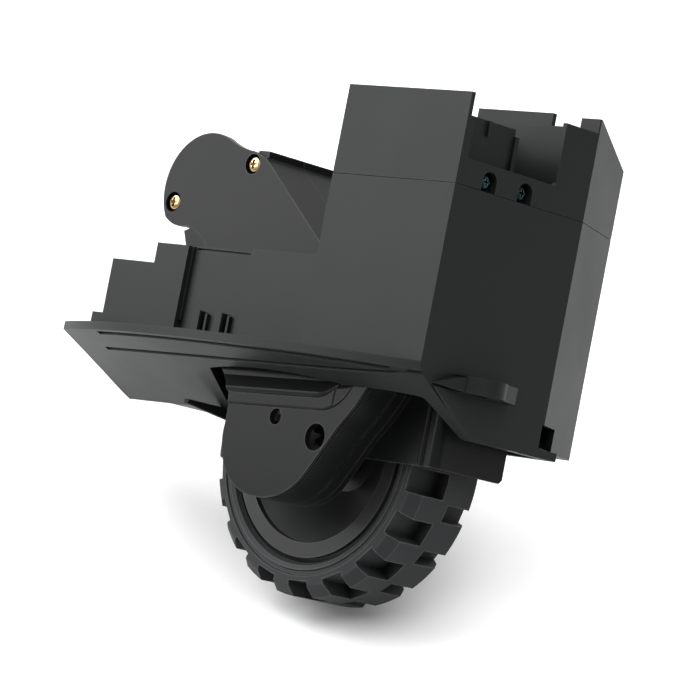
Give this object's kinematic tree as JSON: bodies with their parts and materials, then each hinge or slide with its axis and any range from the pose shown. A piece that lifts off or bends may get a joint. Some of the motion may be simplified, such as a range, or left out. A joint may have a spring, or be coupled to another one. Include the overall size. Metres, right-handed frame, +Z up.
{
  "type": "robot vacuum wheel module",
  "caption": "Sprung drive wheel module of a robot vacuum: black housing with bevelled flange, swing-arm gearbox with motor, and a lugged rubber wheel.",
  "frame": {"origin": "centre of the mounting ear's hole, at the ear's upper face", "axes": "+X along the module's flat front from the wing to the ear, +Y inboard, parallel to the wheel axle, +Z up along the ear's hole"},
  "size_m": [0.155, 0.0868, 0.1338],
  "materials": {
    "housing_abs": "satin moulded black",
    "gearbox_abs": "satin moulded black",
    "hub_abs": "satin moulded black",
    "tyre_rubber": "matt rubber",
    "dark_screw": "blackened steel",
    "gold_screw": "yellow passivated",
    "connector_nylon": "natural nylon",
    "pin_tin": "tinned",
    "switch_body": "moulded black",
    "switch_steel": "spring steel strip",
    "polished_steel": "ground steel",
    "sinter_bronze": "sintered bronze",
    "motor_steel": "zinc plated",
    "motor_plastic": "moulded black",
    "rotor_iron": "laminated iron",
    "pinion_brass": "cut brass",
    "magnet": "moulded ferrite",
    "board": "green laminate",
    "gear_acetal": "natural acetal",
    "gear_dark": "grey acetal",
    "spring_steel": "drawn wire"
  },
  "bodies": {
    "housing": {"housing_base": "housing_abs", "top_cap": "housing_abs", "cap_screws": "dark_screw", "bay_connector": "connector_nylon", "connector_pins": "pin_tin", "drop_switch": "switch_body", "pivot_pin": "polished_steel", "suspension_spring": "spring_steel"},
    "swing_arm": {"gear_cover": "gearbox_abs", "gearbox_back": "gearbox_abs", "fender": "gearbox_abs", "cover_screws": "gold_screw", "gear_shafts": "polished_steel", "pivot_bushes": "sinter_bronze", "axle_bushes": "sinter_bronze", "motor_can": "motor_steel", "motor_cap": "motor_plastic", "encoder_board": "board"},
    "motor_rotor": {"motor_rotor": "rotor_iron", "motor_shaft": "polished_steel", "motor_pinion": "pinion_brass", "encoder_disc": "magnet"},
    "first_gear": {"gear_first": "gear_acetal"},
    "second_gear": {"gear_second": "gear_acetal"},
    "third_gear": {"gear_third": "gear_acetal"},
    "wheel": {"output_gear": "gear_dark", "axle": "polished_steel", "hub": "hub_abs", "tyre": "tyre_rubber"},
    "switch_lever": {"switch_lever": "switch_steel"}
  },
  "joints": [
    {"name": "suspension", "type": "hinge", "parent": "housing", "child": "swing_arm", "pos_m": [-0.1136, -0.0063, 0.0049], "axis": [0, -1, 0], "range_deg": [0, 20.5], "stiffness_Nm_per_rad": 0.34, "springref_deg": -31.51, "deforming": ["suspension_spring"]},
    {"name": "wheel_spin", "type": "hinge", "parent": "swing_arm", "child": "wheel", "pos_m": [-0.0581, -0.0053, -0.0224], "axis": [0, 1, 0], "continuous": true},
    {"name": "third_gear_spin", "type": "hinge", "parent": "swing_arm", "child": "third_gear", "pos_m": [-0.05428, -0.0053, -0.00073], "axis": [0, 1, 0], "continuous": true},
    {"name": "second_gear_spin", "type": "hinge", "parent": "swing_arm", "child": "second_gear", "pos_m": [-0.07355, -0.0053, 0.01519], "axis": [0, 1, 0], "continuous": true},
    {"name": "first_gear_spin", "type": "hinge", "parent": "swing_arm", "child": "first_gear", "pos_m": [-0.0859, -0.0053, 0.03483], "axis": [0, 1, 0], "continuous": true},
    {"name": "motor_spin", "type": "hinge", "parent": "swing_arm", "child": "motor_rotor", "pos_m": [-0.0981, -0.0053, 0.0359], "axis": [0, 1, 0], "continuous": true},
    {"name": "switch_lever_tilt", "type": "hinge", "parent": "housing", "child": "switch_lever", "pos_m": [-0.113, -0.0074, 0.0121], "axis": [0, -1, 0], "range_deg": [0, 8.2]}
  ],
  "couplings": [
    {"joint": "third_gear_spin", "follows": "wheel_spin", "ratio": -1.2},
    {"joint": "second_gear_spin", "follows": "wheel_spin", "ratio": 2.55},
    {"joint": "first_gear_spin", "follows": "wheel_spin", "ratio": -8.0143},
    {"joint": "motor_spin", "follows": "wheel_spin", "ratio": 31.256},
    {"joint": "switch_lever_tilt", "follows": "suspension", "ratio": 0.4}
  ]
}
